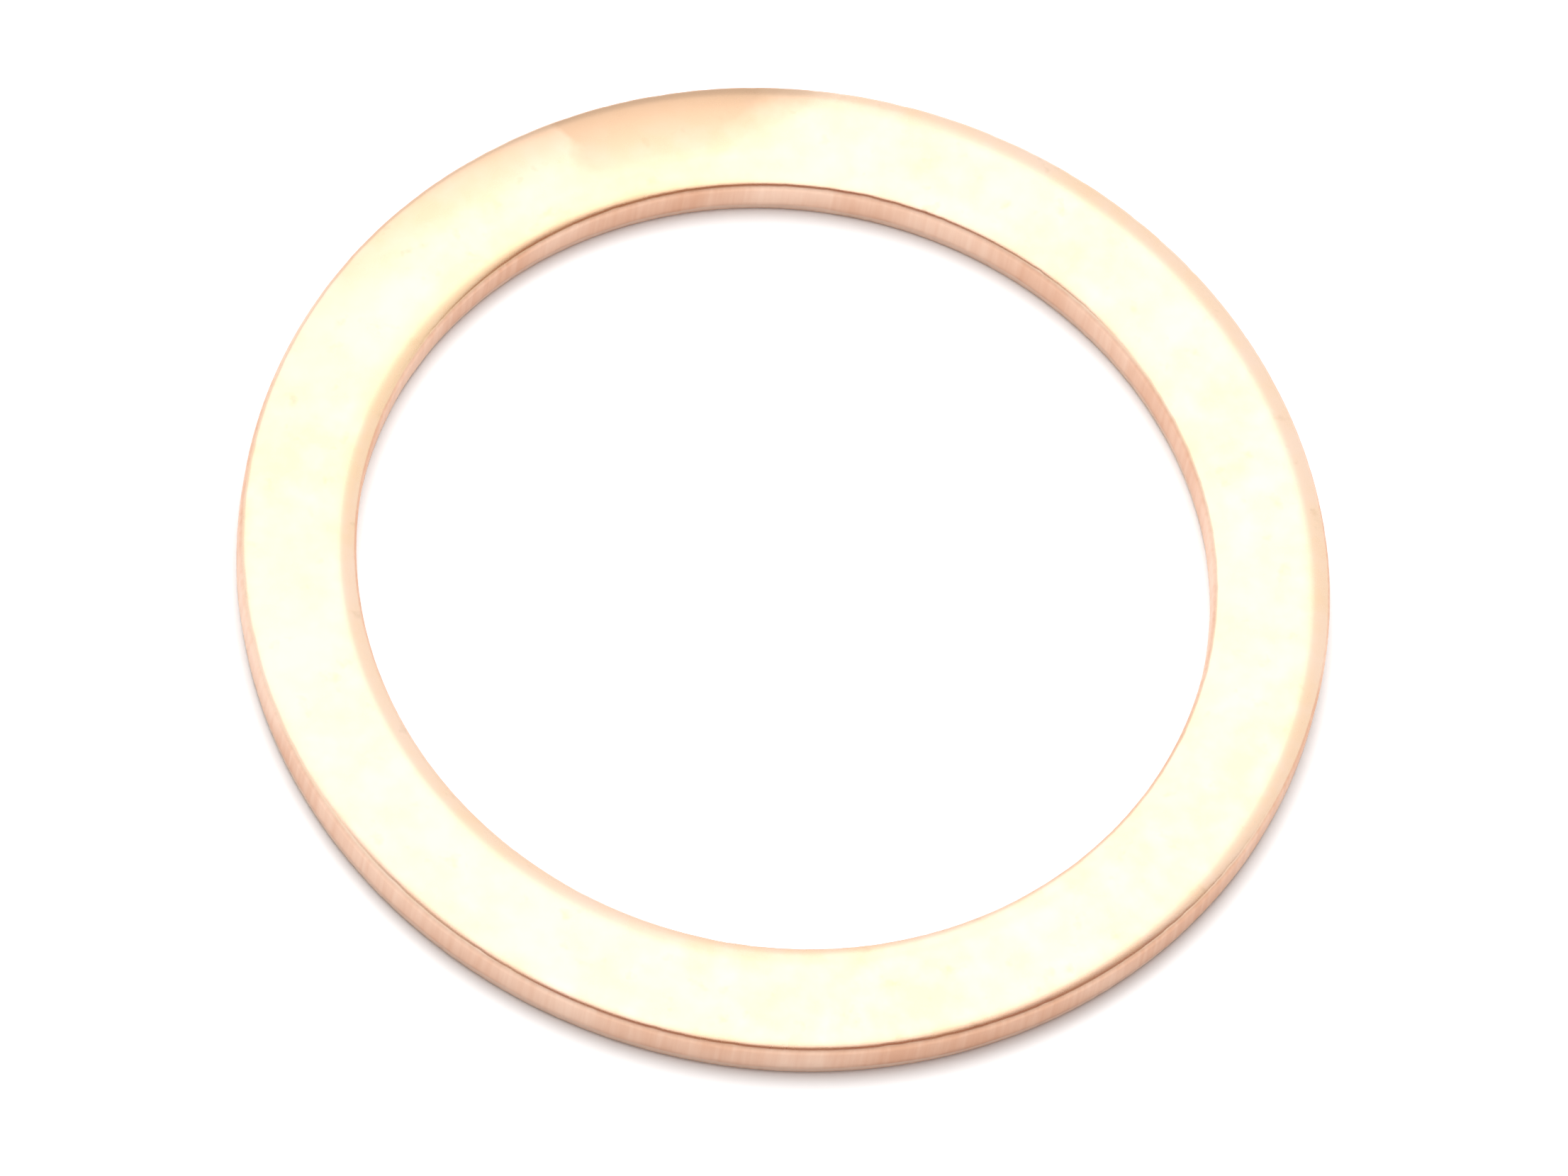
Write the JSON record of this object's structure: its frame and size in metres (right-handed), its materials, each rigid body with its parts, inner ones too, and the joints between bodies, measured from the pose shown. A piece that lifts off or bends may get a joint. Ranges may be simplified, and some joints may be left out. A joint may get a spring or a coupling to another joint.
{
  "type": "copper crush washer",
  "caption": "Flat ring of soft annealed copper with blanked edges, squeezed under a plug, bolt head or fitting to seal the joint against leaks.",
  "frame": {"origin": "centre of the bore, on the lower face, which is the plane the washer lies on", "axes": "+Z along the bore axis, up through the face whose edges were rolled over in blanking; X and Y are any two radii"},
  "size_m": [0.0308, 0.0308, 0.0014],
  "materials": {
    "copper": "satin"
  },
  "bodies": {
    "root": {"crush_washer": "copper"}
  },
  "joints": []
}
